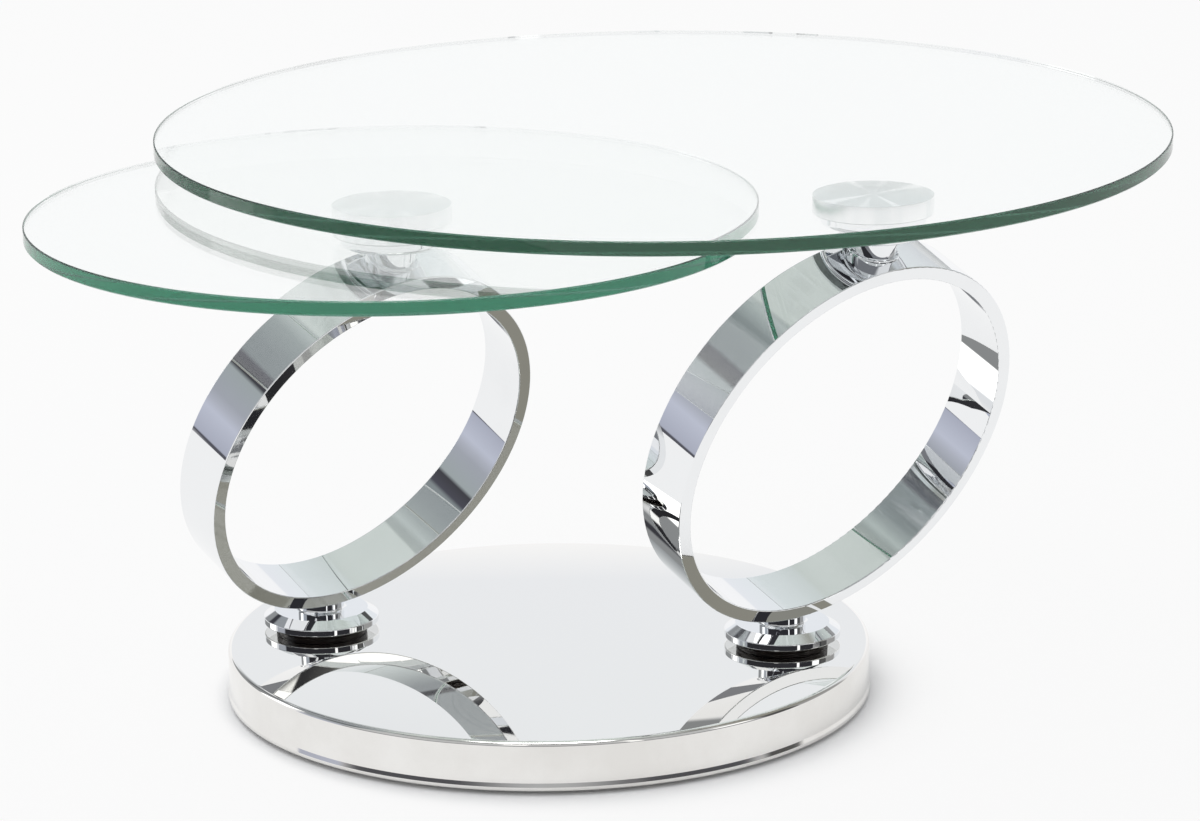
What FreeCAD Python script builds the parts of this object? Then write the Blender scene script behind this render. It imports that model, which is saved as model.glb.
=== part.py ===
import FreeCAD, Part

import math
import os
from collections import namedtuple

# Swivel coffee table. Two round glass tops turn on two leaning ring hoops, which turn on one
# round base. Millimetres. +Z is up and the floor is Z = 0. The origin lies on the floor under
# the middle of the base, and +X points from the low hoop's pivot to the high hoop's pivot.

V = FreeCAD.Vector
UP = V(0, 0, 1)

# Base: a polished stainless pressing over a wooden core and a steel ballast plate
base_diameter = 500.0
base_height = 41.0            # floor to the polished top
cover_sheet = 1.2
cover_edge_radius = 4.0       # outside bend between the top and the wall
wall_flare = 0.8              # how far the foot of the wall stands out, radial
wall_flare_height = 3.0
rim_band_height = 3.2         # upright band under the flare
hem_fold_radius = 0.2         # inside the fold between the band and the turned-in hem
hem_width = 14.0              # from the band's face to the hem's inner rim
wall_floor_gap = 3.2          # floor to the underside of the hem
disc_side_gap = 0.5           # round the discs inside the cover
under_plate_thickness = 3.0
ballast_thickness = 10.0

# Under plate screws, countersunk, one ring
plate_screw_count = 6
plate_screw_hem_gap = 6.0     # hem's inner rim to the screw heads
plate_screw_diameter = 5.0
plate_screw_head_diameter = 10.0
plate_screw_head_height = 2.5
plate_screw_length = 10.0

# Glides: one ring and one in the middle, each pressed into the under plate
glide_count = 6
glide_hem_gap = 18.0          # hem's inner rim to the glides
glide_diameter = 36.0
glide_sole_diameter = 30.0
glide_edge_height = 2.0       # floor to the glide's full diameter
glide_stem_diameter = 8.0

# Pivots of the two hoops
pivot_spacing = 363.0
pivot_line_setback = 9.0      # the pivots stand this far behind the middle of the base
pivot_bolt_diameter = 16.0
pivot_bolt_end_bevel = 1.0
running_clearance = 0.05      # radial, round each turning shaft
bush_wall = 4.0
bush_flange_diameter = 34.0
bush_flange_thickness = 1.5
bearing_ring_diameter = 71.0
bearing_ring_flange_gap = 2.0 # radial, bush flange to bearing ring
bearing_ring_height = 4.5
bearing_ring_bevel = 0.5
pivot_web = 4.0               # steel left over the lock nut's pocket
nut_pocket_gap = 3.0          # radial, round the thrust washer
thrust_washer_diameter = 34.0
thrust_washer_thickness = 2.0
pivot_end_play = 0.2
lock_nut_across_flats = 24.0
lock_nut_height = 6.0
lock_nut_chamfer = 30.0       # degrees, on the corners of both faces
bolt_nut_stickout = 0.4

# Foot under each hoop
foot_diameter = 90.0
foot_rim_height = 5.0
foot_rim_radius = 0.8         # round on both edges of the rim
foot_bevel_width = 8.5
foot_bevel_height = 5.5
foot_neck_diameter = 36.0
foot_neck_fillet = 2.0
foot_neck_rise = 20.3         # foot's top face to the middle of the hoop's strip
pivot_bolt_grip = 18.0        # depth of the bolt in the foot

# Hoops: flat strip rings that lean over, so that each crown stands away from its foot
low_hoop_diameter = 295.0
strip_width = 46.0
strip_thickness = 11.0
strip_edge_radius = 0.8
crown_offset = 108.0          # level distance from the foot's axis to the crown
low_hoop_turn = -42.5         # direction of the lean, degrees from +X
high_hoop_turn = -44.0

# Hub on each crown
hub_setback = 5.0             # hub's axis behind the middle of the strip at the crown
hub_neck_rise = 18.35         # middle of the strip at the crown to the hub's flange
hub_neck_diameter = 32.0      # at the strip
hub_neck_top_diameter = 39.0
hub_flange_diameter = 79.0
hub_flange_thickness = 8.0
hub_flange_radius = 4.0       # round on the flange's lower edge
hub_spindle_diameter = 12.0
hub_spindle_grip = 14.0       # depth of the spindle in the hub
hub_spindle_top_gap = 1.0
slide_washer_inset = 2.5      # hub flange's rim to the washer's rim
slide_washer_thickness = 0.8

# Pad bonded under each glass top
pad_diameter = 90.0
pad_thickness = 13.5
pad_bevel = 0.4
pad_liner_wall = 2.5
pad_liner_length = 10.0

# Glass tops
glass_thickness = 11.0
glass_arris = 1.0
glass_gap = 12.65             # lower top's upper face to the upper top's underside
lower_glass_diameter = 550.0
upper_glass_diameter = 800.0
upper_glass_offset = 288.0    # pad's axis to the middle of the glass
upper_glass_turn = 129.4      # direction of that offset, degrees from +X

# How far a cutting cylinder runs past the faces that it opens
cut_overrun = 1.0

# Worked out from the sizes above
base_radius = base_diameter / 2
hem_rim_radius = base_radius - hem_width
plate_screw_ring_diameter = 2 * (hem_rim_radius - plate_screw_hem_gap) - plate_screw_head_diameter
glide_ring_diameter = 2 * (hem_rim_radius - glide_hem_gap) - glide_diameter
wall_radius = base_radius - wall_flare
top_bend_start = wall_radius - cover_edge_radius
hem_fold_start = base_radius - cover_sheet - hem_fold_radius
disc_radius = min(top_bend_start, hem_fold_start) - disc_side_gap
plate_bottom = wall_floor_gap + cover_sheet
ballast_bottom = plate_bottom + under_plate_thickness
core_bottom = ballast_bottom + ballast_thickness
core_top = base_height - cover_sheet
web_bottom = core_bottom - pivot_web
bush_radius = pivot_bolt_diameter / 2 + running_clearance + bush_wall
bearing_ring_bore = bush_flange_diameter + 2 * bearing_ring_flange_gap
nut_pocket_diameter = thrust_washer_diameter + 2 * nut_pocket_gap
slide_washer_diameter = hub_flange_diameter - 2 * slide_washer_inset
thrust_washer_bottom = web_bottom - pivot_end_play - thrust_washer_thickness
lock_nut_bottom = thrust_washer_bottom - lock_nut_height
bolt_bottom = lock_nut_bottom - bolt_nut_stickout
foot_bottom = base_height + bearing_ring_height
foot_top = foot_bottom + foot_rim_height + foot_bevel_height
hoop_bottom = foot_top + foot_neck_rise
liner_radius = hub_spindle_diameter / 2 + running_clearance + pad_liner_wall
low_hoop_rise = math.sqrt((low_hoop_diameter - strip_thickness) ** 2 - crown_offset ** 2)
high_hoop_rise = low_hoop_rise + glass_thickness + glass_gap
high_hoop_diameter = math.sqrt(high_hoop_rise ** 2 + crown_offset ** 2) + strip_thickness

Station = namedtuple("Station", "name pivot_x hoop_diameter turn")
low_station = Station("low", -pivot_spacing / 2, low_hoop_diameter, low_hoop_turn)
high_station = Station("high", pivot_spacing / 2, high_hoop_diameter, high_hoop_turn)
stations = [low_station, high_station]


def save(shape, node):
    shape.exportStep(os.path.join("parts", node + ".step"))


def level_direction(degrees):
    return V(math.cos(math.radians(degrees)), math.sin(math.radians(degrees)), 0)


def ring_of_places(count, diameter, first_angle):
    return [level_direction(first_angle + i * 360.0 / count) * (diameter / 2) for i in range(count)]


def pivot_place(station):
    return V(station.pivot_x, pivot_line_setback, 0)


def rounded_corner(before, corner, after, radius):
    """Arc tangent to both sides of a corner: its start, middle and end."""
    back = (before - corner).normalize()
    ahead = (after - corner).normalize()
    half_angle = back.getAngle(ahead) / 2
    reach = radius / math.tan(half_angle)
    middle = corner + (back + ahead).normalize() * (radius / math.sin(half_angle) - radius)
    return corner + back * reach, middle, corner + ahead * reach


def outline(profile):
    """Face in the XZ plane. Each corner is (r, z), or (r, z, radius) where it is rounded."""
    corners = [V(r, 0, z) for r, z, *_ in profile]
    arcs = []
    for i, (r, z, *radius) in enumerate(profile):
        before, after = corners[i - 1], corners[(i + 1) % len(corners)]
        arcs.append(rounded_corner(before, corners[i], after, radius[0]) if radius else [corners[i]])
    edges = []
    for i, arc in enumerate(arcs):
        edges.append(Part.makeLine(arcs[i - 1][-1], arc[0]))
        if len(arc) > 1:
            edges.append(Part.Arc(*arc).toShape())
    return Part.Face(Part.Wire(edges))


def turned(profile, place=V(0, 0, 0)):
    """Solid turned about the vertical line through place from a closed profile, as outline reads it."""
    solid = outline(profile).revolve(V(0, 0, 0), UP, 360)
    solid.translate(place)
    return solid


def post(diameter, bottom, top, place):
    return Part.makeCylinder(diameter / 2, top - bottom, place + UP * bottom)


def through_hole(diameter, bottom, top, place):
    return post(diameter, bottom - cut_overrun, top + cut_overrun, place)


def hole_from_below(diameter, bottom, top, place):
    return post(diameter, bottom - cut_overrun, top, place)


def tube(outer_diameter, bore, bottom, top, place):
    return post(outer_diameter, bottom, top, place).cut(through_hole(bore, bottom, top, place))


# Base

def base_cover():
    """Pressed cover: flat top, rounded edge, wall flared at its foot and a hem folded in underneath."""
    top = base_height
    foot = wall_floor_gap
    sheet = cover_sheet
    band_top = foot + rim_band_height
    flare_top = band_top + wall_flare_height
    flare_angle = math.atan2(wall_flare, wall_flare_height)
    inside_drop = sheet * math.tan(flare_angle / 2)
    shell = turned([
        (0, top),
        (wall_radius, top, cover_edge_radius),
        (wall_radius, flare_top),
        (base_radius, band_top),
        (base_radius, foot, hem_fold_radius + sheet),
        (hem_rim_radius, foot),
        (hem_rim_radius, foot + sheet),
        (base_radius - sheet, foot + sheet, hem_fold_radius),
        (base_radius - sheet, band_top - inside_drop),
        (wall_radius - sheet, flare_top - inside_drop),
        (wall_radius - sheet, core_top, cover_edge_radius - sheet),
        (0, core_top),
    ])
    for station in stations:
        shell = shell.cut(through_hole(2 * bush_radius, core_top, top, pivot_place(station)))
    return shell


def base_core():
    disc = post(2 * disc_radius, core_bottom, core_top, V(0, 0, 0))
    for station in stations:
        disc = disc.cut(through_hole(2 * bush_radius, core_bottom, core_top, pivot_place(station)))
    return disc


def ballast_plate():
    """Steel disc with the bush bores, a pocket under each for the lock nut, and screw holes."""
    disc = post(2 * disc_radius, ballast_bottom, core_bottom, V(0, 0, 0))
    for station in stations:
        place = pivot_place(station)
        disc = disc.cut(through_hole(2 * bush_radius, ballast_bottom, core_bottom, place))
        disc = disc.cut(hole_from_below(nut_pocket_diameter, ballast_bottom, web_bottom, place))
    for place in plate_screw_places():
        disc = disc.cut(plate_screw(place))
    return disc


def under_plate():
    plate = post(2 * disc_radius, plate_bottom, ballast_bottom, V(0, 0, 0))
    for station in stations:
        place = pivot_place(station)
        plate = plate.cut(through_hole(nut_pocket_diameter, plate_bottom, ballast_bottom, place))
    for place in plate_screw_places():
        plate = plate.cut(plate_screw(place))
    for place in glide_places():
        plate = plate.cut(through_hole(glide_stem_diameter, plate_bottom, ballast_bottom, place))
    return plate


def plate_screw_places():
    quarter_step = 90.0 / plate_screw_count
    return ring_of_places(plate_screw_count, plate_screw_ring_diameter, quarter_step)


def plate_screw(place):
    head = plate_screw_head_diameter / 2
    shank = plate_screw_diameter / 2
    neck = plate_bottom + plate_screw_head_height
    tip = plate_bottom + plate_screw_length
    return turned([(0, plate_bottom), (head, plate_bottom), (shank, neck), (shank, tip), (0, tip)], place)


def glide_places():
    half_step = 180.0 / glide_count
    return [V(0, 0, 0)] + ring_of_places(glide_count, glide_ring_diameter, half_step)


def glide(place):
    sole = glide_sole_diameter / 2
    rim = glide_diameter / 2
    stem = glide_stem_diameter / 2
    return turned([(0, 0), (sole, 0), (rim, glide_edge_height), (rim, plate_bottom),
                   (stem, plate_bottom), (stem, ballast_bottom), (0, ballast_bottom)], place)


# Pivot under each hoop

def pivot_bush(station):
    """Flanged bush through the web, the core and the cover."""
    bore = pivot_bolt_diameter / 2 + running_clearance
    flange = bush_flange_diameter / 2
    flange_top = base_height + bush_flange_thickness
    return turned([(bore, web_bottom), (bush_radius, web_bottom), (bush_radius, base_height),
                   (flange, base_height), (flange, flange_top), (bore, flange_top)],
                  pivot_place(station))


def bearing_ring(station):
    rim = bearing_ring_diameter / 2
    bore = bearing_ring_bore / 2
    b = bearing_ring_bevel
    return turned([(bore, base_height), (rim - b, base_height), (rim, base_height + b),
                   (rim, foot_bottom - b), (rim - b, foot_bottom), (bore, foot_bottom)],
                  pivot_place(station))


def pivot_bolt(station):
    r = pivot_bolt_diameter / 2
    top = foot_bottom + pivot_bolt_grip
    b = pivot_bolt_end_bevel
    return turned([(0, bolt_bottom), (r - b, bolt_bottom), (r, bolt_bottom + b), (r, top), (0, top)],
                  pivot_place(station))


def thrust_washer(station):
    return tube(thrust_washer_diameter, pivot_bolt_diameter, thrust_washer_bottom,
                thrust_washer_bottom + thrust_washer_thickness, pivot_place(station))


def lock_nut(station):
    """Hexagon nut, its corners chamfered above and below."""
    place = pivot_place(station)
    bottom = lock_nut_bottom
    top = bottom + lock_nut_height
    face = lock_nut_across_flats / 2
    corner = lock_nut_across_flats / math.sqrt(3)
    drop = (corner - face) * math.tan(math.radians(lock_nut_chamfer))
    corners = [place + level_direction(60 * i) * corner + UP * bottom for i in range(6)]
    hexagon = Part.Face(Part.makePolygon(corners + [corners[0]]))
    blank = turned([(0, bottom), (face, bottom), (corner, bottom + drop), (corner, top - drop),
                    (face, top), (0, top)], place)
    nut = hexagon.extrude(UP * lock_nut_height).common(blank)
    return nut.cut(through_hole(pivot_bolt_diameter, bottom, top, place))


# Hoops. Each strip's ring stands with its lowest point on its foot's axis and leans over, so
# that the ring's own axis dips towards the side that it leans to.

def hoop_lean(station):
    return math.asin(crown_offset / (station.hoop_diameter - strip_thickness))


def hoop_axis(station):
    lean = hoop_lean(station)
    return level_direction(station.turn) * math.cos(lean) - UP * math.sin(lean)


def hoop_rise(station):
    """Direction from the hoop's lowest point to its crown."""
    lean = hoop_lean(station)
    return level_direction(station.turn) * math.sin(lean) + UP * math.cos(lean)


def hoop_centre(station):
    middle_radius = (station.hoop_diameter - strip_thickness) / 2
    return pivot_place(station) + UP * hoop_bottom + hoop_rise(station) * middle_radius


def crown(station):
    middle_diameter = station.hoop_diameter - strip_thickness
    return pivot_place(station) + UP * hoop_bottom + hoop_rise(station) * middle_diameter


def hoop_round(station, diameter, length):
    """Solid cylinder on the hoop's axis, centred on the hoop."""
    axis = hoop_axis(station)
    start = hoop_centre(station) - axis * (length / 2)
    return Part.makeCylinder(diameter / 2, length, start, axis)


def hoop(station):
    """Flat strip rolled to a ring, with its four edges eased."""
    bore = station.hoop_diameter - 2 * strip_thickness
    ring = hoop_round(station, station.hoop_diameter, strip_width)
    ring = ring.cut(hoop_round(station, bore, strip_width + 2 * cut_overrun))
    rims = [edge for edge in ring.Edges if edge.isClosed()]
    return ring.makeFillet(strip_edge_radius, rims)


def foot(station):
    """Turned foot: bevelled flange and neck, its top cut to the leaning hoop's outer surface."""
    rim = foot_diameter / 2
    neck = foot_neck_diameter / 2
    reach = hoop_bottom + neck * math.tan(hoop_lean(station)) + strip_thickness
    place = pivot_place(station)
    blank = turned([
        (0, foot_bottom),
        (rim, foot_bottom, foot_rim_radius),
        (rim, foot_bottom + foot_rim_height, foot_rim_radius),
        (rim - foot_bevel_width, foot_top),
        (neck, foot_top, foot_neck_fillet),
        (neck, reach),
        (0, reach),
    ], place)
    blank = blank.cut(hoop_round(station, station.hoop_diameter, 2 * foot_diameter))
    bolt_hole = hole_from_below(pivot_bolt_diameter, foot_bottom, foot_bottom + pivot_bolt_grip, place)
    return blank.cut(bolt_hole)


# Hub on each crown

def hub_place(station):
    top = crown(station) - level_direction(station.turn) * hub_setback
    return V(top.x, top.y, 0)


def hub_flange_bottom(station):
    return crown(station).z + hub_neck_rise


def hub_top(station):
    return hub_flange_bottom(station) + hub_flange_thickness


def pad_bottom(station):
    return hub_top(station) + slide_washer_thickness


def glass_bottom(station):
    return pad_bottom(station) + pad_thickness


def hub(station):
    """Turned hub: flange and tapered neck, its foot cut to the leaning hoop's outer surface."""
    flange = hub_flange_diameter / 2
    neck = hub_neck_diameter / 2
    neck_top = hub_neck_top_diameter / 2
    bottom = hub_flange_bottom(station)
    top = hub_top(station)
    reach = crown(station).z - neck * math.tan(hoop_lean(station)) - strip_thickness
    strip = crown(station).z
    place = hub_place(station)
    blank = turned([(0, reach), (neck, reach), (neck, strip), (neck_top, bottom),
                    (flange, bottom, hub_flange_radius), (flange, top), (0, top)], place)
    blank = blank.cut(hoop_round(station, station.hoop_diameter, 2 * foot_diameter))
    return blank.cut(post(hub_spindle_diameter, top - hub_spindle_grip, top + cut_overrun, place))


def hub_spindle(station):
    top = pad_bottom(station) + pad_liner_length - hub_spindle_top_gap
    return post(hub_spindle_diameter, hub_top(station) - hub_spindle_grip, top, hub_place(station))


def slide_washer(station):
    return tube(slide_washer_diameter, hub_spindle_diameter, hub_top(station), pad_bottom(station),
                hub_place(station))


# Pad and glass

def pad(station):
    """Turned aluminium disc with a blind bore for the liner."""
    rim = pad_diameter / 2
    b = pad_bevel
    bottom = pad_bottom(station)
    top = glass_bottom(station)
    place = hub_place(station)
    disc = turned([(0, bottom), (rim - b, bottom), (rim, bottom + b), (rim, top - b), (rim - b, top),
                   (0, top)], place)
    return disc.cut(hole_from_below(2 * liner_radius, bottom, bottom + pad_liner_length, place))


def pad_liner(station):
    bore = hub_spindle_diameter + 2 * running_clearance
    bottom = pad_bottom(station)
    return tube(2 * liner_radius, bore, bottom, bottom + pad_liner_length, hub_place(station))


def glass(station, diameter, offset):
    """Round top with flat polished edge and a narrow arris above and below."""
    rim = diameter / 2
    a = glass_arris
    bottom = glass_bottom(station)
    top = bottom + glass_thickness
    return turned([(0, bottom), (rim - a, bottom), (rim, bottom + a), (rim, top - a), (rim - a, top),
                   (0, top)], hub_place(station) + offset)


os.makedirs("parts", exist_ok=True)

save(base_cover(), "base_cover")
save(base_core(), "base_core")
save(ballast_plate(), "ballast_plate")
save(under_plate(), "under_plate")
save(Part.makeCompound([plate_screw(place) for place in plate_screw_places()]), "under_plate_screws")
save(Part.makeCompound([glide(place) for place in glide_places()]), "glides")

for station in stations:
    save(pivot_bush(station), station.name + "_pivot_bush")
    save(bearing_ring(station), station.name + "_bearing_ring")
    save(foot(station), station.name + "_foot")
    save(pivot_bolt(station), station.name + "_pivot_bolt")
    save(thrust_washer(station), station.name + "_thrust_washer")
    save(lock_nut(station), station.name + "_lock_nut")
    save(hoop(station), station.name + "_hoop")
    save(hub(station), station.name + "_hub")
    save(hub_spindle(station), station.name + "_hub_spindle")
    save(slide_washer(station), station.name + "_slide_washer")

save(pad(low_station), "lower_pad")
save(pad_liner(low_station), "lower_pad_liner")
save(glass(low_station, lower_glass_diameter, V(0, 0, 0)), "lower_glass")

upper_offset = level_direction(upper_glass_turn) * upper_glass_offset
save(pad(high_station), "upper_pad")
save(pad_liner(high_station), "upper_pad_liner")
save(glass(high_station, upper_glass_diameter, upper_offset), "upper_glass")
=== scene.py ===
import math

import bmesh
import bpy
from mathutils import Matrix, Vector
from mathutils.geometry import tessellate_polygon


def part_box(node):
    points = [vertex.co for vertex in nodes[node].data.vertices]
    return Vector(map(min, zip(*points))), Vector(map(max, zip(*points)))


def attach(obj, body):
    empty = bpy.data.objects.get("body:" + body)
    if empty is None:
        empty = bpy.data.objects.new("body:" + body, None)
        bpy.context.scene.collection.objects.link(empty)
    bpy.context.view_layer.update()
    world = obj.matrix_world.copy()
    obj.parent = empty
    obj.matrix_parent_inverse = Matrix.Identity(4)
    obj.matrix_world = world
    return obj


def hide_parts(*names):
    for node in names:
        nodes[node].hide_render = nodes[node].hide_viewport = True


# Swivel coffee table: two round glass tops on two leaning chrome hoops over one polished base.
# Metres, +Z up, floor at Z = 0.

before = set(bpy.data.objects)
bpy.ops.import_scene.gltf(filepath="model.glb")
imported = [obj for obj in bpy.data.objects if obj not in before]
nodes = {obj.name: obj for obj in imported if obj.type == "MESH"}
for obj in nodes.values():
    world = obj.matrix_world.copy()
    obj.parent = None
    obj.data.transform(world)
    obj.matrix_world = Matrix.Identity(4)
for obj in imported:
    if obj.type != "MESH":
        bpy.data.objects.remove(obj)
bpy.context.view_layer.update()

MM = 0.001


# Shader nodes

# A Mix node has sockets for numbers, vectors and colours; these are the ones it uses for colours.
MIX_FACTOR, MIX_FIRST, MIX_SECOND, MIX_RESULT = 0, 6, 7, 2


def join(tree, source, target):
    tree.links.new(source, target)


def feed(tree, value, socket):
    """Gives a socket a number, a colour or another node's output."""
    if isinstance(value, (int, float)):
        socket.default_value = value
    elif isinstance(value, tuple):
        socket.default_value = (*value, 1)
    else:
        join(tree, value, socket)


def fill_in(tree, node, **inputs):
    """Feeds a node's inputs, named with _ for a space."""
    for name, value in inputs.items():
        feed(tree, value, node.inputs[name.replace("_", " ")])


def put(tree, kind, **inputs):
    """Adds a shader node and feeds its inputs."""
    node = tree.nodes.new(kind)
    fill_in(tree, node, **inputs)
    return node


def arithmetic(tree, operation, *values, clamp=False):
    """Math node over one or two numbers or sockets."""
    node = tree.nodes.new("ShaderNodeMath")
    node.operation = operation
    node.use_clamp = clamp
    for value, socket in zip(values, node.inputs):
        feed(tree, value, socket)
    return node.outputs["Value"]


def product(tree, first, *others):
    for other in others:
        first = arithmetic(tree, "MULTIPLY", first, other)
    return first


def remap(tree, value, low, high, new_low=0.0, new_high=1.0, smooth=False):
    """Goes from new_low to new_high while value goes from low to high, and no further."""
    node = put(tree, "ShaderNodeMapRange", Value=value, From_Min=low, From_Max=high,
               To_Min=new_low, To_Max=new_high)
    node.interpolation_type = "SMOOTHSTEP" if smooth else "LINEAR"
    return node.outputs["Result"]


def blend_colours(tree, factor, first, second):
    """Goes from the first colour to the second while factor goes from 0 to 1."""
    node = tree.nodes.new("ShaderNodeMix")
    node.data_type = "RGBA"
    feed(tree, factor, node.inputs[MIX_FACTOR])
    feed(tree, first, node.inputs[MIX_FIRST])
    feed(tree, second, node.inputs[MIX_SECOND])
    return node.outputs[MIX_RESULT]


def colour_ramp(tree, value, stops):
    """Ramp over 0 to 1 from (place, colour) stops."""
    node = put(tree, "ShaderNodeValToRGB", Fac=value)
    elements = node.color_ramp.elements
    while len(elements) < len(stops):
        elements.new(0.5)
    for element, (place, colour) in zip(elements, stops):
        element.position = place
        element.color = (*colour, 1)
    return node.outputs["Color"]


def noise(tree, at, scale, detail=2.0, roughness=0.5):
    node = put(tree, "ShaderNodeTexNoise", Vector=at, Scale=scale, Detail=detail, Roughness=roughness)
    return node.outputs["Fac"]


def coordinates(tree, kind):
    return tree.nodes.new("ShaderNodeTexCoord").outputs[kind]


def components(tree, vector):
    """X, Y and Z of a vector."""
    return put(tree, "ShaderNodeSeparateXYZ", Vector=vector).outputs


def facing_up(tree):
    """1 where the surface faces up, 0 where it is upright and -1 where it faces down."""
    return components(tree, coordinates(tree, "Normal"))["Z"]


def ray_path(tree):
    return tree.nodes.new("ShaderNodeLightPath").outputs


def mirrored_only(tree):
    """1 for a ray that a surface has just mirrored; 0 for one that has just passed through glass."""
    path = ray_path(tree)
    return product(tree, path["Is Glossy Ray"], arithmetic(tree, "SUBTRACT", 1.0, path["Is Transmission Ray"]))


def mirrored_again(tree):
    """1 for a ray that has just been mirrored for the second time or a later one."""
    earlier = arithmetic(tree, "GREATER_THAN", ray_path(tree)["Glossy Depth"], 1.5)
    return product(tree, mirrored_only(tree), earlier)


# Effects, each built once and placed in the finishes that have it

def new_effect(name, inputs, outputs):
    """Shader node group; inputs are (name, kind, default) and outputs (name, kind)."""
    group = bpy.data.node_groups.new(name, "ShaderNodeTree")
    for label, kind, default in inputs:
        socket = group.interface.new_socket(name=label, in_out="INPUT", socket_type="NodeSocket" + kind)
        socket.default_value = default
    for label, kind in outputs:
        group.interface.new_socket(name=label, in_out="OUTPUT", socket_type="NodeSocket" + kind)
    return group, group.nodes.new("NodeGroupInput").outputs, group.nodes.new("NodeGroupOutput").inputs


def make_polish_haze():
    """Slow ripple and faint wiping haze of a polished metal face."""
    group, given, out = new_effect(
        "polish_haze",
        [("Haze Scale", "Float", 14.0), ("Clean Roughness", "Float", 0.01),
         ("Hazed Roughness", "Float", 0.05), ("Ripple Scale", "Float", 26.0)],
        [("Roughness", "Float"), ("Ripple", "Float"), ("Haze", "Float")])
    at = coordinates(group, "Object")
    patches = noise(group, at, given["Haze Scale"], detail=4.0, roughness=0.6)
    haze = remap(group, patches, 0.45, 0.75, smooth=True)
    join(group, haze, out["Haze"])
    join(group, remap(group, haze, 0, 1, given["Clean Roughness"], given["Hazed Roughness"]), out["Roughness"])
    join(group, noise(group, at, given["Ripple Scale"], detail=1.0), out["Ripple"])
    return group


def make_turned_rings_and_painted_highlights():
    """Fine rings of a disc turned in a lathe, with painted highlights: opposite wedges of painted highlight on
    its face and soft upright lines of painted highlight on its side.

    The wedges are given by their bearing from the disc's middle, in degrees."""
    group, given, out = new_effect(
        "turned_rings_and_painted_highlights",
        [("Rings per Metre", "Float", 1432.4), ("Broad Wedge", "Float", 44.0),
         ("Narrow Wedge", "Float", 117.0), ("Faint Wedge", "Float", 84.0)],
        [("Wedge", "Float"), ("Rings", "Float"), ("Painted Side Highlights", "Float")])
    x, y, _ = components(group, coordinates(group, "Object"))
    bearing = arithmetic(group, "DEGREES", arithmetic(group, "ARCTAN2", y, x))
    radius = arithmetic(group, "SQRT", arithmetic(group, "ADD", product(group, x, x), product(group, y, y)))

    def wedge(middle, half_width, brightness):
        """Pair of opposite wedges of painted highlight, brightest on their middle line."""
        apart = arithmetic(group, "RADIANS", arithmetic(group, "SUBTRACT", bearing, middle))
        across = arithmetic(group, "COSINE", product(group, apart, 2.0))
        side = math.cos(math.radians(2 * half_width))
        return remap(group, across, side, 1.0, 0.0, brightness, smooth=True)

    broad = wedge(given["Broad Wedge"], half_width=12.0, brightness=1.0)
    narrow = wedge(given["Narrow Wedge"], half_width=6.0, brightness=0.85)
    faint = wedge(given["Faint Wedge"], half_width=6.0, brightness=0.6)
    # Painted highlight: the three pairs of wedges added up
    light = arithmetic(group, "ADD", arithmetic(group, "ADD", broad, narrow), faint, clamp=True)
    join(group, light, out["Wedge"])
    rings = arithmetic(group, "SINE", product(group, radius, given["Rings per Metre"], math.tau))
    join(group, rings, out["Rings"])
    # Painted highlights on the side: soft upright lines by bearing round the disc
    around = put(group, "ShaderNodeCombineXYZ", X=x, Y=y).outputs["Vector"]
    painted_side_highlights = noise(group, around, 75.0, detail=2.0, roughness=0.6)
    join(group, remap(group, painted_side_highlights, 0.35, 0.65, smooth=True), out["Painted Side Highlights"])
    return group


def make_fine_grain():
    """Even grain of a coating, a moulding or a board, with slow patches."""
    group, given, out = new_effect(
        "fine_grain",
        [("Grain Scale", "Float", 1500.0), ("Patch Scale", "Float", 20.0),
         ("Pale", "Color", (1, 1, 1, 1)), ("Deep", "Color", (0, 0, 0, 1)),
         ("Smooth Roughness", "Float", 0.3), ("Rough Roughness", "Float", 0.5)],
        [("Color", "Color"), ("Roughness", "Float"), ("Grain", "Float")])
    at = coordinates(group, "Object")
    grain = noise(group, at, given["Grain Scale"], detail=3.0, roughness=0.65)
    patch = noise(group, at, given["Patch Scale"])
    paleness = remap(group, arithmetic(group, "ADD", grain, patch), 0.7, 1.3)
    join(group, blend_colours(group, paleness, given["Deep"], given["Pale"]), out["Color"])
    rough = remap(group, patch, 0.35, 0.65, given["Smooth Roughness"], given["Rough Roughness"])
    join(group, rough, out["Roughness"])
    join(group, grain, out["Grain"])
    return group


polish_haze = make_polish_haze()
turned_rings_and_painted_highlights = make_turned_rings_and_painted_highlights()
fine_grain = make_fine_grain()


def place_effect(tree, group, **inputs):
    """Places an effect with its own values and gives its outputs."""
    node = tree.nodes.new("ShaderNodeGroup")
    node.node_tree = group
    fill_in(tree, node, **inputs)
    return node.outputs


# Finishes

CHROME_CLEAN, CHROME_HAZED = (0.885, 0.895, 0.905), (0.86, 0.87, 0.88)
POLISH_RIPPLE = 0.02 * MM

# The wall's colours are darker than the top's partly as painted shade, since the wall mirrors the floor in the
# base's shadow, and partly because it is less polished
COVER_TOP = (0.925, 0.915, 0.89)
COVER_WALL_SHADED_CLEAN, COVER_WALL_SHADED_RUBBED = (0.86, 0.85, 0.83), (0.78, 0.765, 0.74)
WALL_BRIGHT_ROUGHNESS, WALL_RUBBED_ROUGHNESS = 0.03, 0.06

# Pad face colours: the darker face between the wedges, and the painted highlight of the wedges themselves
PAD_FACE, PAD_PAINTED_HIGHLIGHT = (0.62, 0.68, 0.67), (0.99, 0.995, 0.99)
PAD_FACE_ROUGHNESS, PAD_WEDGE_ROUGHNESS = 0.16, 0.1
# Pad side colours: the side and its upright lines of painted highlight
PAD_SIDE, PAD_SIDE_PAINTED_HIGHLIGHT = (0.84, 0.87, 0.87), (0.985, 0.99, 0.99)
PAD_SIDE_ROUGHNESS = 0.28
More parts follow.
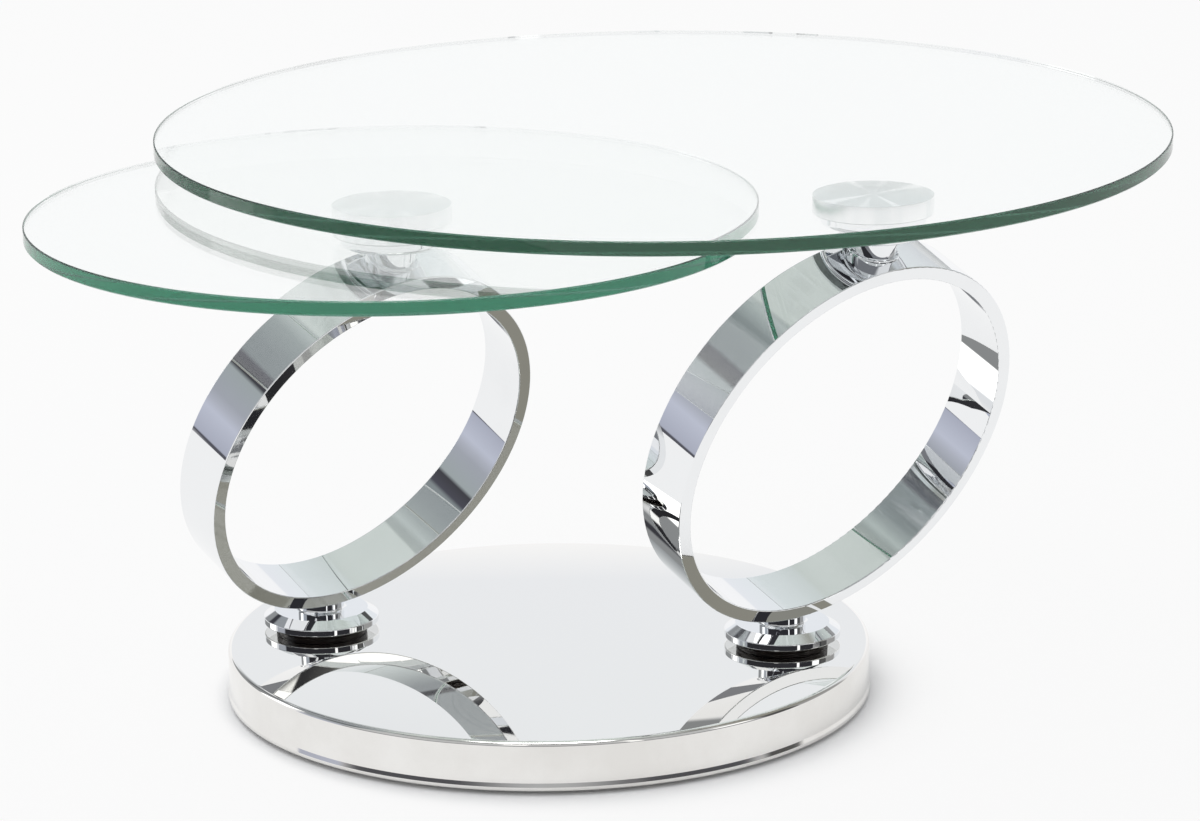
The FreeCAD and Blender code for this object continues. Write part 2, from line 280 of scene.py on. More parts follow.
# Underside and lower edge of the pad painted dark as painted shade, for the dark seam over the hub flange
PAD_UNDERSIDE_PAINTED_SHADE = (0.30, 0.33, 0.32)
PAD_ANISOTROPY = 0.4
TURNED_RING_DEPTH = 0.01 * MM

GLASS_FACE = (1.0, 1.0, 1.0)
# Edge green of each top: the glass's own tint, painted lighter on the lower top as painted light and darker on
# the upper top as painted shade; both tops are the same glass
LOWER_GLASS_EDGE_LIT, UPPER_GLASS_EDGE_SHADED = (0.105, 0.41, 0.285), (0.115, 0.225, 0.165)
GLASS_BODY = (0.05, 0.45, 0.30)
GLASS_BODY_DENSITY = 2.4
GLASS_IOR = 1.52
ARRIS_ROUGHNESS = 0.4

# Where one finish or painted shade of a piece gives way to the next, by how far the surface faces up
COVER_WALL_TO_TOP = (0.5, 0.95)
PAD_SIDE_TO_FACE = (0.4, 0.9)
PAD_SIDE_TO_SHADED_UNDERSIDE = (-0.2, -0.4)
GLASS_ARRIS_TO_EDGE = (0.4, 0.2)
GLASS_EDGE_TO_ARRIS = (0.45, 0.55)
GLASS_FACE_TO_ARRIS = (0.95, 0.85)


def new_finish(name):
    """Material with its node tree and its shader."""
    material = bpy.data.materials.new(name)
    material.use_nodes = True
    tree = material.node_tree
    return material, tree, tree.nodes["Principled BSDF"]


def raise_surface(tree, shader, height, depth):
    """Bump from a height that runs 0 to 1 over depth, in metres."""
    bump = put(tree, "ShaderNodeBump", Height=height, Distance=depth)
    join(tree, bump.outputs["Normal"], shader.inputs["Normal"])


def polished_chrome():
    """Chrome with a faint haze of wiping and a slow ripple."""
    material, tree, shader = new_finish("mirror_chrome")
    haze = place_effect(tree, polish_haze, Clean_Roughness=0.008, Hazed_Roughness=0.035)
    colour = blend_colours(tree, haze["Haze"], CHROME_CLEAN, CHROME_HAZED)
    fill_in(tree, shader, Metallic=1.0, Base_Color=colour, Roughness=haze["Roughness"])
    raise_surface(tree, shader, haze["Ripple"], POLISH_RIPPLE)
    return material


def pressed_stainless():
    """Stainless sheet with a mirror top and a less polished, faintly rubbed wall, whose colour is also painted
    darker than the top as painted shade.
    """
    material, tree, shader = new_finish("mirror_stainless")
    haze = place_effect(tree, polish_haze, Clean_Roughness=0.01, Hazed_Roughness=0.03, Ripple_Scale=9.0)
    rubbing = noise(tree, coordinates(tree, "Object"), 11.0, detail=6.0, roughness=0.55)
    rubbing = remap(tree, rubbing, 0.35, 0.65)
    shaded_wall_colour = blend_colours(tree, rubbing, COVER_WALL_SHADED_CLEAN, COVER_WALL_SHADED_RUBBED)
    wall_roughness = remap(tree, rubbing, 0, 1, WALL_BRIGHT_ROUGHNESS, WALL_RUBBED_ROUGHNESS)
    is_top = remap(tree, facing_up(tree), *COVER_WALL_TO_TOP)
    # Wall painted darker than the top, partly as painted shade
    colour = blend_colours(tree, is_top, shaded_wall_colour, COVER_TOP)
    roughness = remap(tree, is_top, 0, 1, wall_roughness, haze["Roughness"])
    fill_in(tree, shader, Metallic=1.0, Base_Color=colour, Roughness=roughness)
    raise_surface(tree, shader, haze["Ripple"], POLISH_RIPPLE)
    return material


def turned_aluminium():
    """Clear anodised aluminium: a turned face with wedges of painted highlight, a bright side with upright lines
    of painted highlight, and an underside painted dark as painted shade.
    """
    material, tree, shader = new_finish("anodised_aluminium")
    marks = place_effect(tree, turned_rings_and_painted_highlights)
    up = facing_up(tree)
    is_face = remap(tree, up, *PAD_SIDE_TO_FACE)
    painted_shade_underside = remap(tree, up, *PAD_SIDE_TO_SHADED_UNDERSIDE)
    # The face's wedges are painted highlights
    face_colour = blend_colours(tree, marks["Wedge"], PAD_FACE, PAD_PAINTED_HIGHLIGHT)
    # The side's upright lines are painted highlights
    side_colour = blend_colours(tree, marks["Painted Side Highlights"], PAD_SIDE, PAD_SIDE_PAINTED_HIGHLIGHT)
    colour = blend_colours(tree, is_face, side_colour, face_colour)
    # Painted shade on the pad's underside and lower edge
    colour = blend_colours(tree, painted_shade_underside, colour, PAD_UNDERSIDE_PAINTED_SHADE)
    face_roughness = remap(tree, marks["Wedge"], 0, 1, PAD_FACE_ROUGHNESS, PAD_WEDGE_ROUGHNESS)
    roughness = remap(tree, is_face, 0, 1, PAD_SIDE_ROUGHNESS, face_roughness)
    fill_in(tree, shader, Metallic=1.0, Anisotropic=PAD_ANISOTROPY, Base_Color=colour, Roughness=roughness)
    raise_surface(tree, shader, marks["Rings"], TURNED_RING_DEPTH)
    return material


def clear_glass(name, edge_colour):
    """Float glass: nearly clear through its thickness, green through its edge, its arrises ground; the edge
    green's brightness is painted light and shade for each top.
    """
    material, tree, shader = new_finish(name)
    level = arithmetic(tree, "ABSOLUTE", facing_up(tree))
    is_edge = remap(tree, level, *GLASS_ARRIS_TO_EDGE)
    is_arris = product(tree, remap(tree, level, *GLASS_EDGE_TO_ARRIS), remap(tree, level, *GLASS_FACE_TO_ARRIS))
    fill_in(tree, shader, IOR=GLASS_IOR, Transmission_Weight=1.0,
            Base_Color=blend_colours(tree, is_edge, GLASS_FACE, edge_colour),
            Roughness=product(tree, is_arris, ARRIS_ROUGHNESS))
    body = put(tree, "ShaderNodeVolumeAbsorption", Color=GLASS_BODY, Density=GLASS_BODY_DENSITY)
    join(tree, body.outputs["Volume"], tree.nodes["Material Output"].inputs["Volume"])
    return material


def grained(name, pale, deep, smooth, rough, grain_scale, grain_depth, metallic=0.0):
    """Board, moulding, coating or plate with an even grain; smooth and rough are its least and most roughness."""
    material, tree, shader = new_finish(name)
    grain = place_effect(tree, fine_grain, Grain_Scale=grain_scale, Pale=pale, Deep=deep,
                         Smooth_Roughness=smooth, Rough_Roughness=rough)
    fill_in(tree, shader, Metallic=metallic, Base_Color=grain["Color"], Roughness=grain["Roughness"])
    raise_surface(tree, shader, grain["Grain"], grain_depth)
    return material


chrome = polished_chrome()
stainless = pressed_stainless()
aluminium = turned_aluminium()
glass = {"lower": clear_glass("lower_float_glass", LOWER_GLASS_EDGE_LIT),
         "upper": clear_glass("upper_float_glass", UPPER_GLASS_EDGE_SHADED)}
board = grained("oiled_board", pale=(0.62, 0.48, 0.33), deep=(0.44, 0.32, 0.2), smooth=0.6, rough=0.8,
                grain_scale=900, grain_depth=0.2 * MM)
ballast = grained("mill_steel", pale=(0.26, 0.26, 0.27), deep=(0.15, 0.15, 0.16), smooth=0.4, rough=0.6,
                  grain_scale=700, grain_depth=0.1 * MM, metallic=0.8)
black_coat = grained("black_coat", pale=(0.045, 0.045, 0.046), deep=(0.022, 0.022, 0.023), smooth=0.45, rough=0.6,
                     grain_scale=1800, grain_depth=0.1 * MM)
zinc = grained("bright_zinc", pale=(0.68, 0.69, 0.71), deep=(0.52, 0.53, 0.56), smooth=0.25, rough=0.4,
               grain_scale=1200, grain_depth=0.03 * MM, metallic=1.0)
moulded = grained("black_moulding", pale=(0.04, 0.04, 0.042), deep=(0.025, 0.025, 0.026), smooth=0.35, rough=0.5,
                  grain_scale=2400, grain_depth=0.04 * MM)
nylon = grained("natural_nylon", pale=(0.80, 0.78, 0.73), deep=(0.70, 0.68, 0.62), smooth=0.4, rough=0.55,
                grain_scale=1500, grain_depth=0.03 * MM)
brown_ring = grained("brown_bearing", pale=(0.05, 0.034, 0.026), deep=(0.018, 0.013, 0.011), smooth=0.3,
                     rough=0.45, grain_scale=1100, grain_depth=0.05 * MM)
grey_nylon = grained("grey_nylon", pale=(0.16, 0.165, 0.165), deep=(0.10, 0.105, 0.105), smooth=0.4, rough=0.5,
                     grain_scale=1500, grain_depth=0.03 * MM)

finish_of = {
    "base_cover": stainless, "base_core": board, "ballast_plate": ballast, "under_plate": black_coat,
    "under_plate_screws": zinc, "glides": moulded,
}
for level in ("lower", "upper"):
    finish_of.update({level + "_glass": glass[level], level + "_pad": aluminium, level + "_pad_liner": nylon})
for hoop in ("low", "high"):
    for piece, finish in (("foot", chrome), ("hoop", chrome), ("hub", chrome), ("bearing_ring", brown_ring),
                          ("pivot_bush", nylon), ("pivot_bolt", zinc), ("thrust_washer", zinc),
                          ("lock_nut", zinc), ("hub_spindle", zinc), ("slide_washer", grey_nylon)):
        finish_of[hoop + "_" + piece] = finish

for name, finish in finish_of.items():
    slots = nodes[name].data.materials
    for i in range(len(slots)):
        slots[i] = finish


# Pieces made here

TURN_STEPS = 160
FINE_TURN_STEPS = 720
SHARP_EDGE = math.radians(20)     # a steeper fold of the surface shows as an edge
SHARP_FOLD = math.radians(10)     # the same for the cover, whose flare is slight


def add_piece(name, vertices, faces, finish, body, centre=(0, 0, 0), sharp=SHARP_EDGE):
    """Smooth-shaded piece on a CAD body, its folds kept sharp."""
    mesh = bpy.data.meshes.new(name)
    mesh.from_pydata(vertices, [], faces)
    mesh.materials.append(finish)
    work = bmesh.new()
    work.from_mesh(mesh)
    bmesh.ops.recalc_face_normals(work, faces=work.faces)
    for face in work.faces:
        face.smooth = True
    for edge in work.edges:
        edge.smooth = edge.is_manifold and edge.calc_face_angle() < sharp
    work.to_mesh(mesh)
    work.free()
    piece = bpy.data.objects.new(name, mesh)
    bpy.context.scene.collection.objects.link(piece)
    piece.location = centre
    bpy.context.view_layer.update()
    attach(piece, body)
    return piece


def circle(centre, radius, z, steps):
    """Points round an upright axis."""
    points = []
    for i in range(steps):
        angle = 2 * math.pi * i / steps
        points.append((centre[0] + radius * math.cos(angle), centre[1] + radius * math.sin(angle), z))
    return points


def lathe(profile, steps=TURN_STEPS):
    """Vertices and faces turned about the upright axis from (r, z) points; ends at r = 0 close to a point."""
    vertices, rows = [], []
    for r, z in profile:
        if r == 0:
            rows.append([len(vertices)] * steps)
            vertices.append((0, 0, z))
        else:
            rows.append(list(range(len(vertices), len(vertices) + steps)))
            vertices += circle((0, 0), r, z, steps)
    faces = []
    for lower, upper in zip(rows, rows[1:]):
        for i in range(steps):
            j = (i + 1) % steps
            corners = list(dict.fromkeys((lower[i], lower[j], upper[j], upper[i])))
            if len(corners) > 2:
                faces.append(corners)
    return vertices, faces


def corner_arc(centre, radius, first_angle, last_angle, steps=5):
    """Points of a rounded corner in a profile, angles in degrees from the outward direction."""
    points = []
    for i in range(steps + 1):
        a = math.radians(first_angle + (last_angle - first_angle) * i / steps)
        points.append((centre[0] + radius * math.cos(a), centre[1] + radius * math.sin(a)))
    return points


# Pads and glass tops

BOND_FILM = 0.02 * MM         # clear film between pad and glass
PAD_EDGE = 0.4 * MM
PAD_LOWER_EDGE = 0.8 * MM
GLASS_ARRIS = 1.0 * MM


def bonded_pad(level, body):
    """Turned pad under a glass top, open at the liner's bore."""
    low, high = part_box(level + "_pad")
    liner_low, liner_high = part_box(level + "_pad_liner")
    centre = (low + high) / 2
    rim = (high.x - low.x) / 2
    bore = (liner_high.x - liner_low.x) / 2
    bottom, top = low.z - centre.z, high.z - centre.z - BOND_FILM
    ceiling = liner_high.z - centre.z
    profile = [(0, ceiling), (bore, ceiling), (bore, bottom)]
    profile += corner_arc((rim - PAD_LOWER_EDGE, bottom + PAD_LOWER_EDGE), PAD_LOWER_EDGE, -90, 0)
    profile += corner_arc((rim - PAD_EDGE, top - PAD_EDGE), PAD_EDGE, 0, 90)
    profile += [(0, top)]
    vertices, faces = lathe(profile)
    piece = add_piece(level + "_turned_pad", vertices, faces, aluminium, body, centre)
    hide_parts(level + "_pad")


def polished_top(level):
    """Round glass top with a flat polished edge between two arrises, its rim finely turned."""
    low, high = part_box(level + "_glass")
    centre = (low + high) / 2
    rim = min(high.x - low.x, high.y - low.y) / 2
    half = (high.z - low.z) / 2
    flat, side = rim - GLASS_ARRIS, half - GLASS_ARRIS
    profile = [(0, -half), (flat, -half), (rim, -side), (rim, side), (flat, half), (0, half)]
    vertices, faces = lathe(profile, FINE_TURN_STEPS)
    piece = add_piece(level + "_polished_top", vertices, faces, glass[level], level + "_top",
                      centre)
    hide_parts(level + "_glass")


bonded_pad("lower", "lower_top")
bonded_pad("upper", "upper_top")
polished_top("lower")
polished_top("upper")


# Cover of the base

COVER_SHEET = 1.2 * MM
TOP_BEND = 4.0 * MM
WALL_FLARE = 0.8 * MM
FLARE_HEIGHT = 3.0 * MM
RIM_BAND_HEIGHT = 3.2 * MM
HEM_FOLD = 0.2 * MM           # inner radius of the fold
HEM_WIDTH = 14.0 * MM
BUSH_RADIUS = 12.05 * MM      # holes for the two pivot bushes


def pressed_cover():
    """Cover of the base: mirror top with the two bush holes, rolled edge, flared wall and folded hem."""
    low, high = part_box("base_cover")
    rim = min(high.x - low.x, high.y - low.y) / 2
    wall = rim - WALL_FLARE
    top, foot = high.z, low.z
    ceiling = top - COVER_SHEET
    band_top = foot + RIM_BAND_HEIGHT
    flare_top = band_top + FLARE_HEIGHT
    fold = HEM_FOLD + COVER_SHEET
    outside = corner_arc((wall - TOP_BEND, top - TOP_BEND), TOP_BEND, 90, 0, steps=16)
    outside += [(wall, flare_top), (rim, band_top)]
    outside += corner_arc((rim - fold, foot + fold), fold, 0, -90, steps=12)
    inside = [(rim - HEM_WIDTH, foot), (rim - HEM_WIDTH, foot + COVER_SHEET)]
    inside += corner_arc((rim - fold, foot + fold), HEM_FOLD, -90, 0, steps=4)
    inside += [(rim - COVER_SHEET, band_top), (wall - COVER_SHEET, flare_top)]
    inside += corner_arc((wall - TOP_BEND, top - TOP_BEND), TOP_BEND - COVER_SHEET, 0, 90, steps=8)
    vertices, faces = lathe(outside + inside, FINE_TURN_STEPS)
    last_ring = len(outside + inside) - 1
    for ring, z in ((0, top), (last_ring, ceiling)):
        loops = [list(range(ring * FINE_TURN_STEPS, (ring + 1) * FINE_TURN_STEPS))]
        for name in ("low_pivot_bush", "high_pivot_bush"):
            bush_low, bush_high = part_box(name)
            loops.append(list(range(len(vertices), len(vertices) + TURN_STEPS)))
            vertices += circle((bush_low + bush_high) / 2, BUSH_RADIUS, z, TURN_STEPS)
        order = [index for loop in loops for index in loop]
        for corners in tessellate_polygon([[Vector(vertices[index]) for index in loop] for loop in loops]):
            faces.append([order[corner] for corner in corners])
    piece = add_piece("pressed_cover", vertices, faces, stainless, "base",
                      sharp=SHARP_FOLD)
    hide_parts("base_cover")


pressed_cover()


# Solder beads where foot and hub meet the leaning hoop

HOOP_DIAMETER = {"low": 0.295, "high": 0.3170054}
STRIP_THICKNESS = 11 * MM
FOOT_NECK_RADIUS = 18 * MM
HUB_NECK_RADIUS = 16 * MM
HUB_NECK_TOP_RADIUS = 19.5 * MM
HUB_FLANGE_THICKNESS = 8 * MM
BEAD_RADIUS = 1.1 * MM
BEAD_STEPS = 96
BEAD_SIDES = 12
HALVINGS = 30                 # steps of the search for the hoop's surface along a neck


class Hoop:
    """Place and lean of one hoop, from the boxes of its nodes."""

    def __init__(self, name):
        low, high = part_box(name + "_hoop")
        self.centre = (low + high) / 2
        foot_low, foot_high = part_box(name + "_foot")
        self.pivot = (foot_low + foot_high) / 2
        across = self.centre - self.pivot
        across.z = 0
        self.radius = HOOP_DIAMETER[name] / 2
        middle_radius = self.radius - STRIP_THICKNESS / 2
        self.lean = math.asin(across.length / middle_radius)
        across.normalize()
        self.axis = across * math.cos(self.lean) - Vector((0, 0, math.sin(self.lean)))
        reach = math.cos(self.lean) * middle_radius
        self.bottom, self.top = self.centre.z - reach, self.centre.z + reach

    def outside(self, point):
        """How far a point lies outside the hoop's outer surface."""
        arm = point - self.centre
        return (arm - self.axis * arm.dot(self.axis)).length - self.radius


def saddle_line(hoop, middle, covered_end, clear_end):
    """Closed line where a neck turned about an upright axis meets the hoop's outer surface.

    The neck's two ends are (radius, z): the covered one inside the hoop, the clear one outside it."""
    line = []
    for i in range(BEAD_STEPS):
        angle = 2 * math.pi * i / BEAD_STEPS
        outward = Vector((math.cos(angle), math.sin(angle), 0))
        covered, clear = 0.0, 1.0
        for _ in range(HALVINGS):
            share = (covered + clear) / 2
            radius = covered_end[0] + (clear_end[0] - covered_end[0]) * share
            z = covered_end[1] + (clear_end[1] - covered_end[1]) * share
            point = Vector((middle.x, middle.y, z)) + outward * radius
            if hoop.outside(point) < 0:
                covered = share
            else:
                clear = share
        line.append(point)
    return line


def bead(name, line, body):
    """Thin round bead along a closed line."""
    vertices, faces = [], []
    count = len(line)
    for i, point in enumerate(line):
        along = (line[(i + 1) % count] - line[i - 1]).normalized()
        side = along.cross(Vector((0, 0, 1))).normalized()
        up = side.cross(along)
        for j in range(BEAD_SIDES):
            angle = 2 * math.pi * j / BEAD_SIDES
            vertices.append(point + (side * math.cos(angle) + up * math.sin(angle)) * BEAD_RADIUS)
    for i in range(count):
        for j in range(BEAD_SIDES):
            k, m = (i + 1) % count, (j + 1) % BEAD_SIDES
            faces.append((i * BEAD_SIDES + j, k * BEAD_SIDES + j, k * BEAD_SIDES + m, i * BEAD_SIDES + m))
    add_piece(name, vertices, faces, chrome, body)


def solder_beads(name):
    """Beads of one hoop, at its foot and at its hub."""
    hoop = Hoop(name)
    body = name + "_hoop_set"
    foot_low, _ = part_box(name + "_foot")
    foot_line = saddle_line(hoop, hoop.pivot, (FOOT_NECK_RADIUS, hoop.bottom), (FOOT_NECK_RADIUS, foot_low.z))
    bead(name + "_foot_bead", foot_line, body)
    hub_low, hub_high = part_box(name + "_hub")
    neck_top = hub_high.z - HUB_FLANGE_THICKNESS
    hub_line = saddle_line(hoop, (hub_low + hub_high) / 2, (HUB_NECK_RADIUS, hoop.top - 2 * STRIP_THICKNESS),
                           (HUB_NECK_TOP_RADIUS, neck_top))
    bead(name + "_hub_bead", hub_line, body)


solder_beads("low")
solder_beads("high")


# Studio floor

FLOOR_LEFT, FLOOR_RIGHT = -2.8, 4.0
FLOOR_FRONT, FLOOR_BACK = -4.5, 6.0
FLOOR_COLOUR = (0.955, 0.957, 0.96)
FLOOR_WHITE = (0.965, 0.965, 0.965)
FLOOR_WHITE_SHARE = 0.96               # the rest of what is seen of the floor is lit and shadowed
# Painted dark reflection: the floor's colour where it is mirrored a second time away from the table
FLOOR_PAINTED_DARK_REFLECTION = (0.20, 0.205, 0.22)
FAR_SIDE, NEAR_SIDE = (0.35, 0.5), (-0.42, -0.55)
SHADOW_LEFT, SHADOW_RIGHT = -0.2, 0.25
LEFT_REACH, RIGHT_REACH = 0.02, 0.08   # how far the base's close shadow spreads there
SHADOWED, OPEN = 0.42, 0.95            # openness of the floor where its paper white begins and is full
SHADOW_SAMPLES = 8


def seen_directly_or_mirrored(tree):
    """1 for what the camera, polished metal and glass see; 0 for the light that falls on things."""
    path = ray_path(tree)
    reflected = arithmetic(tree, "MAXIMUM", path["Is Glossy Ray"], path["Is Transmission Ray"])
    return arithmetic(tree, "MAXIMUM", path["Is Camera Ray"], reflected)


def studio_floor():
    """Plain pale floor; most of what is seen of it is its own paper white, the rest is lit and shadowed.

    Away from the table it is painted darker where it is mirrored for a second time, as a painted dark reflection."""
    mesh = bpy.data.meshes.new("studio_floor")
    corners = [(FLOOR_LEFT, FLOOR_FRONT, 0), (FLOOR_RIGHT, FLOOR_FRONT, 0),
               (FLOOR_RIGHT, FLOOR_BACK, 0), (FLOOR_LEFT, FLOOR_BACK, 0)]
    mesh.from_pydata(corners, [], [(0, 1, 2, 3)])
    floor = bpy.data.objects.new("studio_floor", mesh)
    bpy.context.scene.collection.objects.link(floor)
    material, tree, shader = new_finish("studio_paper")
    fill_in(tree, shader, Base_Color=FLOOR_COLOUR, Roughness=1.0, Specular_IOR_Level=0.0)
    x, y, _ = components(tree, coordinates(tree, "Object"))
    no_glass = arithmetic(tree, "LESS_THAN", ray_path(tree)["Transmission Depth"], 0.5)
    far_side = product(tree, no_glass, remap(tree, y, *FAR_SIDE))
    near_side = remap(tree, y, *NEAR_SIDE)
    # Painted dark reflection in second mirrorings, far behind and in front of the table
    painted_dark_reflection = product(tree, mirrored_again(tree), arithmetic(tree, "MAXIMUM", far_side, near_side))
    white = put(tree, "ShaderNodeEmission", Color=blend_colours(tree, painted_dark_reflection, FLOOR_WHITE, FLOOR_PAINTED_DARK_REFLECTION))
    reach = remap(tree, x, SHADOW_LEFT, SHADOW_RIGHT, LEFT_REACH, RIGHT_REACH)
    openness = put(tree, "ShaderNodeAmbientOcclusion", Distance=reach)
    openness.samples = SHADOW_SAMPLES
    white_share = remap(tree, openness.outputs["AO"], SHADOWED, OPEN, 0.0, FLOOR_WHITE_SHARE, smooth=True)
    mix = put(tree, "ShaderNodeMixShader", Fac=product(tree, seen_directly_or_mirrored(tree), white_share))
    join(tree, shader.outputs["BSDF"], mix.inputs[1])
    join(tree, white.outputs["Emission"], mix.inputs[2])
    join(tree, mix.outputs["Shader"], tree.nodes["Material Output"].inputs["Surface"])
    mesh.materials.append(material)


# Studio room: bearings are in degrees from straight behind the table, to the right; heights are in degrees

# Colours of the walls by height
LOWEST, HIGHEST = -10, 90
BACK_WALL = [
    (-10, (0.98, 0.98, 0.99)), (14, (0.99, 0.99, 1.0)), (15.8, (0.86, 0.88, 0.92)), (34, (0.84, 0.88, 0.90)),
    (37, (0.78, 0.83, 0.84)), (50, (0.72, 0.77, 0.77)), (58, (0.66, 0.71, 0.70)), (61, (0.61, 0.66, 0.63)),
    (72, (0.63, 0.68, 0.65)), (90, (0.64, 0.68, 0.66))]
LEFT_WALL = [
    (-6.5, (0.90, 0.92, 0.95)), (-5.5, (0.10, 0.10, 0.12)), (-3.7, (0.10, 0.10, 0.12)),
    (-3.3, (0.44, 0.46, 0.55)), (8, (0.55, 0.575, 0.675)), (12, (0.46, 0.48, 0.55)), (16, (0.39, 0.41, 0.46)),
    (29, (0.37, 0.41, 0.42)), (31, (0.06, 0.06, 0.07)), (37, (0.08, 0.08, 0.10)), (39, (0.24, 0.27, 0.28)),
    (47, (0.27, 0.30, 0.31)), (58, (0.34, 0.38, 0.38)), (63, (0.48, 0.53, 0.52)), (66, (0.36, 0.40, 0.39)),
    (73, (0.42, 0.46, 0.44)), (76, (0.62, 0.67, 0.64))]
RIGHT_WALL = [
    (-10, (0.50, 0.50, 0.50)), (18, (0.36, 0.36, 0.36)), (30, (0.30, 0.30, 0.27)), (42, (0.29, 0.285, 0.25)),
    (60, (0.28, 0.275, 0.24)), (75, (0.62, 0.66, 0.64))]
FRONT_WALL = [
    (-10, (0.52, 0.52, 0.53)), (3.5, (0.54, 0.54, 0.55)), (4.5, (0.09, 0.09, 0.10)), (9, (0.09, 0.09, 0.10)),
    (10, (0.56, 0.57, 0.58)), (30, (0.60, 0.61, 0.62)), (50, (0.54, 0.55, 0.55)), (51, (0.12, 0.12, 0.13)),
    (56, (0.12, 0.12, 0.13)), (57, (0.48, 0.50, 0.50)), (68, (0.50, 0.53, 0.52)), (78, (0.62, 0.66, 0.64))]
FRONT_WALL_MIRRORED_AGAIN = [
    (-10, (0.03, 0.03, 0.035)), (30, (0.03, 0.03, 0.035)), (50, (0.05, 0.05, 0.055)), (62, (0.12, 0.12, 0.12)),
    (68, (0.40, 0.43, 0.42)), (78, (0.62, 0.66, 0.64))]

# Bearings between which one wall gives way to the next
BACK_TO_LEFT, BACK_TO_RIGHT = (-89.5, -92), (42, 50)
LEFT_TO_FRONT, RIGHT_TO_FRONT = (-110, -113), (90, 94)

# Plain areas in front of the walls: colour, left, right, low, high and how soft their edges are
SCREEN = ((0.29, 0.30, 0.31), -66, -34, 10, 34, 1.5)
LAMP_STAND = ((0.05, 0.05, 0.06), -49, -43, 22, 60, 1.5)
LAMP_PANEL = ((2.0, 2.0, 2.0), -84, -66, 11, 31, 0.8)
DOORWAY = ((0.10, 0.10, 0.10), 76, 94, 0, 30, 0.8)
WINDOWS = [((1.4, 1.4, 1.4), 95, 111, 16, 30, 0.8), ((1.4, 1.4, 1.4), 139, 144, 10, 46, 0.8),
           ((1.4, 1.4, 1.4), -180, -170, 26, 46, 0.8)]

CORNER_SHADE = (0.31, 0.33, 0.35)
SHADE_BEARINGS, SHADE_HEIGHTS = (-8, -36), (22, 60, 3)
SIDE_MIRRORED_AGAIN = (0.055, 0.058, 0.062)
SIDE_AREA = (-112, -38, 37, 68, 3)
OVERHEAD_LAMP = (11.0, 11.0, 11.0)
OVERHEAD_BEARINGS, OVERHEAD_HEIGHTS = (126, 132), (68, 83, 1.5)
ROOM_LIGHT = (0.70, 0.705, 0.72)
GLASS_MIRRORINGS = (2.5, 5.5)
GLASS_SHARE = 0.3             # how much of the room still shows after that many mirrorings within glass


def studio_world():
    """White surroundings; polished metal also shows the room's walls, lamps, doorway and windows."""
    world = bpy.data.worlds.new("studio")
    bpy.context.scene.world = world
    world.use_nodes = True
    tree = world.node_tree
    x, y, z = components(tree, coordinates(tree, "Generated"))
    height = arithmetic(tree, "DEGREES", arithmetic(tree, "ARCSINE", z))
    bearing = arithmetic(tree, "DEGREES", arithmetic(tree, "ARCTAN2", x, y))

    def wall(stops):
        span = HIGHEST - LOWEST
        place = arithmetic(tree, "DIVIDE", arithmetic(tree, "SUBTRACT", height, LOWEST), span, clamp=True)
        return colour_ramp(tree, place, [((degrees - LOWEST) / span, colour) for degrees, colour in stops])

    def between(value, low, high, soft):
        rise = remap(tree, value, low - soft, low + soft, smooth=True)
        fall = remap(tree, value, high - soft, high + soft, 1.0, 0.0, smooth=True)
        return product(tree, rise, fall)

    def area(left, right, low, high, soft):
        return product(tree, between(bearing, left, right, soft), between(height, low, high, soft))

    def panel(behind, colour, *edges):
        return blend_colours(tree, area(*edges), behind, colour)

    again = mirrored_again(tree)
    front_wall = blend_colours(tree, again, wall(FRONT_WALL), wall(FRONT_WALL_MIRRORED_AGAIN))
    shade = product(tree, remap(tree, bearing, *SHADE_BEARINGS), between(height, *SHADE_HEIGHTS))
    seen = blend_colours(tree, shade, wall(BACK_WALL), CORNER_SHADE)
    for plain_area in (SCREEN, LAMP_STAND, LAMP_PANEL):
        seen = panel(seen, *plain_area)
    seen = blend_colours(tree, remap(tree, bearing, *BACK_TO_LEFT), seen, wall(LEFT_WALL))
    seen = blend_colours(tree, remap(tree, bearing, *BACK_TO_RIGHT, smooth=True), seen, wall(RIGHT_WALL))
    seen = panel(seen, *DOORWAY)
    seen = blend_colours(tree, remap(tree, bearing, *LEFT_TO_FRONT), seen, front_wall)
    seen = blend_colours(tree, remap(tree, bearing, *RIGHT_TO_FRONT), seen, front_wall)
    for window in WINDOWS:
        seen = panel(seen, *window)
    seen = blend_colours(tree, product(tree, again, area(*SIDE_AREA)), seen, SIDE_MIRRORED_AGAIN)

    path = ray_path(tree)
    mirrored_before = arithmetic(tree, "GREATER_THAN", path["Glossy Depth"], 0.5)
    along_glass = remap(tree, path["Glossy Depth"], *GLASS_MIRRORINGS, 1.0, GLASS_SHARE)
    through_glass = product(tree, path["Is Transmission Ray"], mirrored_before, along_glass)
    in_metal = arithmetic(tree, "MAXIMUM", mirrored_only(tree), through_glass)
    direct = arithmetic(tree, "MAXIMUM", path["Is Camera Ray"], path["Is Transmission Ray"])
    plain = blend_colours(tree, direct, ROOM_LIGHT, FLOOR_COLOUR)
    seen = blend_colours(tree, in_metal, plain, seen)

    behind_camera = remap(tree, arithmetic(tree, "ABSOLUTE", bearing), *OVERHEAD_BEARINGS)
    overhead = product(tree, behind_camera, between(height, *OVERHEAD_HEIGHTS), mirrored_only(tree))
    colour = blend_colours(tree, overhead, seen, OVERHEAD_LAMP)
    fill_in(tree, tree.nodes["Background"], Color=colour, Strength=1.0)


# Studio lamp and camera

LAMP_PLACE = (-1.6, 1.2, 2.6)
LAMP_AIM = (0, 0, 0.2)
LAMP_WIDTH = 2.4
LAMP_POWER = 40.0

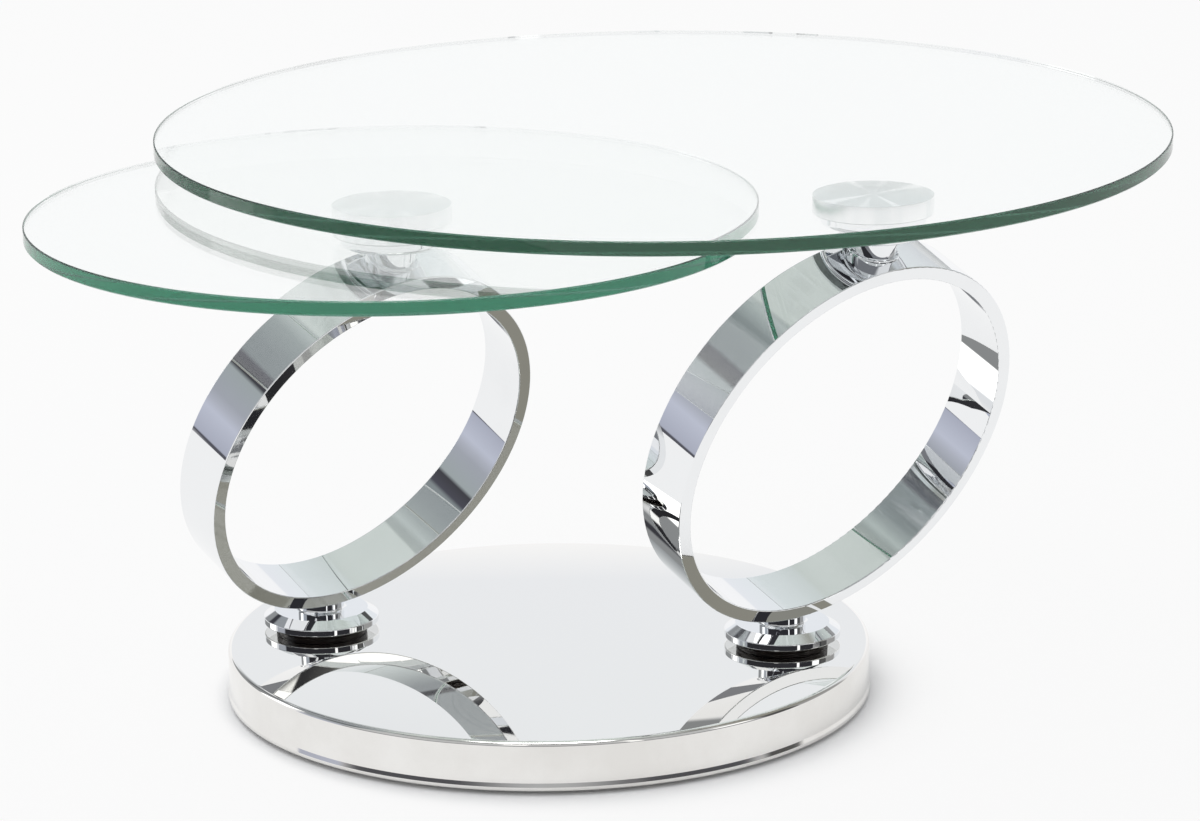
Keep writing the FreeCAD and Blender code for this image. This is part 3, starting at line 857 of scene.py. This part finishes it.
CAMERA_PLACE = (0.495367, -3.395789, 1.166315)
CAMERA_TURN, CAMERA_DIP, CAMERA_ROLL = math.radians(-7.6029), math.radians(15.3818), math.radians(-0.6337)
FOCAL_LENGTH = 138.9675       # millimetres, as is the film's width
FILM_WIDTH = 36.0
FARTHEST_SEEN = 50.0


def soft_lamp():
    """Large soft lamp that faces the table and isn't seen itself."""
    light = bpy.data.lights.new("soft_lamp", "AREA")
    light.size = LAMP_WIDTH
    light.energy = LAMP_POWER
    lamp = bpy.data.objects.new("soft_lamp", light)
    bpy.context.scene.collection.objects.link(lamp)
    lamp.location = LAMP_PLACE
    lamp.rotation_euler = (Vector(LAMP_AIM) - Vector(LAMP_PLACE)).to_track_quat("-Z", "Y").to_euler()
    lamp.visible_glossy = False
    lamp.visible_transmission = False
    lamp.visible_camera = False


def place_camera():
    forward = Vector((math.sin(CAMERA_TURN) * math.cos(CAMERA_DIP), math.cos(CAMERA_TURN) * math.cos(CAMERA_DIP),
                      -math.sin(CAMERA_DIP)))
    level = Vector((math.cos(CAMERA_TURN), -math.sin(CAMERA_TURN), 0))
    upright = level.cross(forward)
    right = level * math.cos(CAMERA_ROLL) + upright * math.sin(CAMERA_ROLL)
    up = upright * math.cos(CAMERA_ROLL) - level * math.sin(CAMERA_ROLL)
    data = bpy.data.cameras.new("camera")
    data.sensor_fit = "HORIZONTAL"
    data.sensor_width = FILM_WIDTH
    data.lens = FOCAL_LENGTH
    data.clip_end = FARTHEST_SEEN
    camera = bpy.data.objects.new("camera", data)
    bpy.context.scene.collection.objects.link(camera)
    turn = Matrix((right, up, -forward)).transposed().to_4x4()
    camera.matrix_world = Matrix.Translation(CAMERA_PLACE) @ turn
    bpy.context.scene.camera = camera


studio_floor()
studio_world()
soft_lamp()
place_camera()

# Light that enters a glass edge steeply is mirrored inside it dozens of times before it leaves.
scene = bpy.context.scene
scene.view_settings.view_transform = "Standard"
scene.cycles.max_bounces = 72
scene.cycles.glossy_bounces = 64
scene.cycles.transmission_bounces = 24
